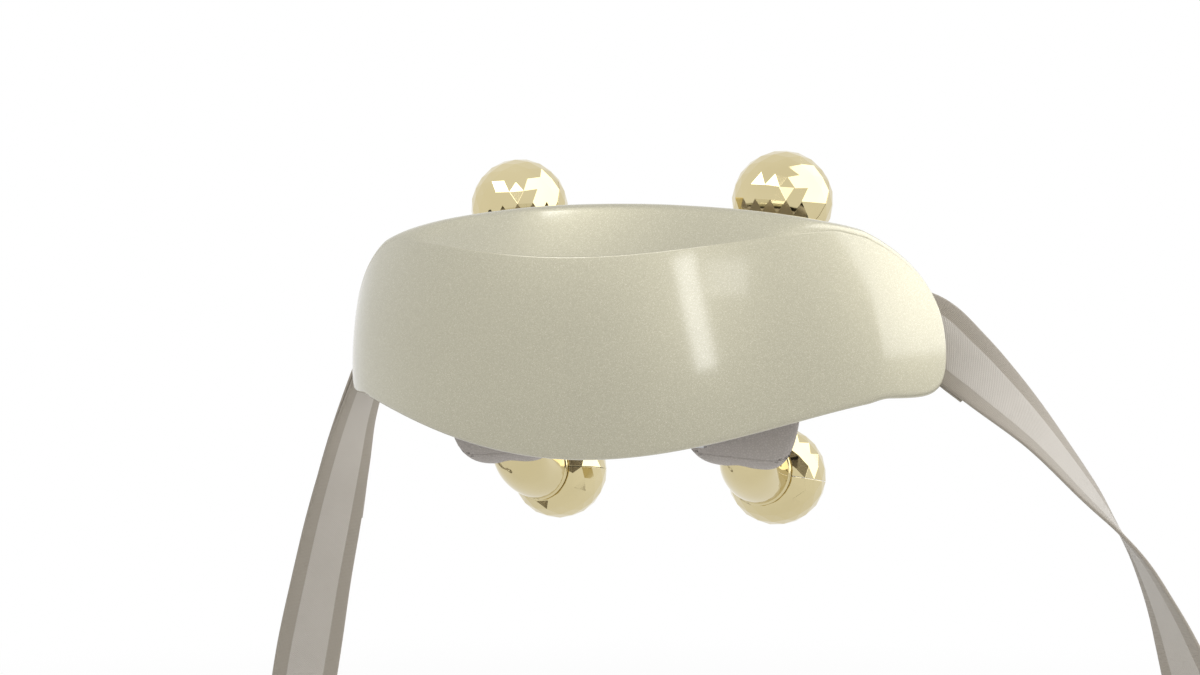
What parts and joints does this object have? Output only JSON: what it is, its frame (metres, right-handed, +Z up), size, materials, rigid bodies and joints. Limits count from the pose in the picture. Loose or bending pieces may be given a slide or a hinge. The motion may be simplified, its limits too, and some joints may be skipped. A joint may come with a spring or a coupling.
{
  "type": "neck and shoulder massager",
  "caption": "Curved casing worn behind the neck, with rocking arms that carry faceted rolling balls, and a pull strap with a hand loop at each wing.",
  "frame": {"origin": "the neck seat: on the middle plane, level with the arm pivots, in the plane of the upper ball centres", "axes": "+X to the wearer's right, +Y from the casing towards the neck, +Z up"},
  "size_m": [0.4238, 0.1226, 0.3765],
  "materials": {
    "pearl_shell": "champagne pearl lacquer, high gloss, fine flake",
    "grey_plastic": "warm light grey, fine moulded grain",
    "soft_pad": "soft grey silicone, matt",
    "heater_film": "amber film with a printed heating track",
    "steel": "plain steel, brushed",
    "motor_can": "drawn steel can, satin",
    "brass": "turned brass",
    "bearing_bronze": "oiled sintered bronze, matt",
    "battery_wrap": "shrink film, satin",
    "circuit_board": "green solder mask",
    "black_plastic": "glass-filled nylon, matt",
    "gold_plated_plastic": "vacuum-metallised gold, mirror bright",
    "grey_rubber": "soft grey rubber, matt",
    "light_lens": "frosted clear lens",
    "webbing": "warm grey woven webbing with darker ribbed borders",
    "gear_plastic": "natural acetal, satin",
    "pod_skin": "warm light grey with a leather grain"
  },
  "bodies": {
    "casing": {"outer_shell": "pearl_shell", "rear_housing": "grey_plastic", "neck_pad": "soft_pad", "heating_film": "heater_film", "drive_frame": "steel", "pivot_pins": "steel", "pivot_caps": "steel", "motor": "motor_can", "battery_pack": "battery_wrap", "main_board": "circuit_board", "charge_socket": "steel", "buzzer": "black_plastic", "button_board": "circuit_board", "button_panel": "grey_plastic", "status_light": "light_lens", "left_strap": "webbing", "right_strap": "webbing", "left_strap_bar": "steel", "right_strap_bar": "steel", "left_strap_bracket": "black_plastic", "right_strap_bracket": "black_plastic", "casing_screws": "steel", "frame_screws": "steel", "screw_plugs": "grey_rubber"},
    "left_arm": {"left_arm_frame": "black_plastic", "left_sector_gear": "gear_plastic", "left_arm_cover": "pod_skin", "left_arm_back": "pod_skin", "left_upper_elbow": "gold_plated_plastic", "left_lower_elbow": "gold_plated_plastic", "left_upper_spindle": "steel", "left_lower_spindle": "steel", "left_arm_bushes": "bearing_bronze", "worm_wheel": "gear_plastic"},
    "right_arm": {"right_arm_frame": "black_plastic", "right_sector_gear": "gear_plastic", "right_arm_cover": "pod_skin", "right_arm_back": "pod_skin", "right_upper_elbow": "gold_plated_plastic", "right_lower_elbow": "gold_plated_plastic", "right_upper_spindle": "steel", "right_lower_spindle": "steel", "right_arm_bushes": "bearing_bronze"},
    "left_upper_ball": {"left_upper_ball_a": "gold_plated_plastic", "left_upper_ball_b": "gold_plated_plastic", "left_upper_bush": "gear_plastic"},
    "left_lower_ball": {"left_lower_ball_a": "gold_plated_plastic", "left_lower_ball_b": "gold_plated_plastic", "left_lower_bush": "gear_plastic"},
    "right_upper_ball": {"right_upper_ball_a": "gold_plated_plastic", "right_upper_ball_b": "gold_plated_plastic", "right_upper_bush": "gear_plastic"},
    "right_lower_ball": {"right_lower_ball_a": "gold_plated_plastic", "right_lower_ball_b": "gold_plated_plastic", "right_lower_bush": "gear_plastic"},
    "motor_rotor": {"motor_worm": "brass"},
    "power_button": {"power_button": "gold_plated_plastic"},
    "mode_button": {"mode_button": "grey_rubber"},
    "heat_button": {"heat_button": "grey_rubber"}
  },
  "joints": [
    {"name": "left_arm_knead", "type": "hinge", "parent": "casing", "child": "left_arm", "pos_m": [-0.053, -0.04, 0], "axis": [0, 1, 0], "range_deg": [0, 9.4]},
    {"name": "right_arm_knead", "type": "hinge", "parent": "casing", "child": "right_arm", "pos_m": [0.053, -0.04, 0], "axis": [0, 1, 0], "range_deg": [-9.4, 0]},
    {"name": "motor_spin", "type": "hinge", "parent": "casing", "child": "motor_rotor", "pos_m": [-0.018, -0.055, 0], "axis": [0, 0, 1], "range_deg": [0, 451.2]},
    {"name": "left_upper_roll", "type": "hinge", "parent": "left_arm", "child": "left_upper_ball", "pos_m": [-0.05747, 0, 0.05442], "axis": [0.0574, 0.4989, 0.8648], "continuous": true},
    {"name": "left_lower_roll", "type": "hinge", "parent": "left_arm", "child": "left_lower_ball", "pos_m": [-0.04836, 0.021, -0.05641], "axis": [0.1305, 0.9851, -0.1115], "continuous": true},
    {"name": "right_upper_roll", "type": "hinge", "parent": "right_arm", "child": "right_upper_ball", "pos_m": [0.05747, 0, 0.05442], "axis": [0.1979, 0.4989, 0.8438], "continuous": true},
    {"name": "right_lower_roll", "type": "hinge", "parent": "right_arm", "child": "right_lower_ball", "pos_m": [0.04836, 0.021, -0.05641], "axis": [0.1106, 0.9851, -0.1314], "continuous": true},
    {"name": "power_button_press", "type": "slide", "parent": "casing", "child": "power_button", "axis": [0.6947, -0.7193, 0], "range_m": [0, 0.0008], "stiffness_N_per_m": 1500, "springref_m": -0.0003},
    {"name": "mode_button_press", "type": "slide", "parent": "casing", "child": "mode_button", "axis": [0.6947, -0.7193, 0], "range_m": [0, 0.0008], "stiffness_N_per_m": 1500, "springref_m": -0.0003},
    {"name": "heat_button_press", "type": "slide", "parent": "casing", "child": "heat_button", "axis": [0.6947, -0.7193, 0], "range_m": [0, 0.0008], "stiffness_N_per_m": 1500, "springref_m": -0.0003}
  ],
  "couplings": [
    {"joint": "right_arm_knead", "follows": "left_arm_knead", "ratio": -1},
    {"joint": "motor_spin", "follows": "left_arm_knead", "ratio": 48}
  ]
}
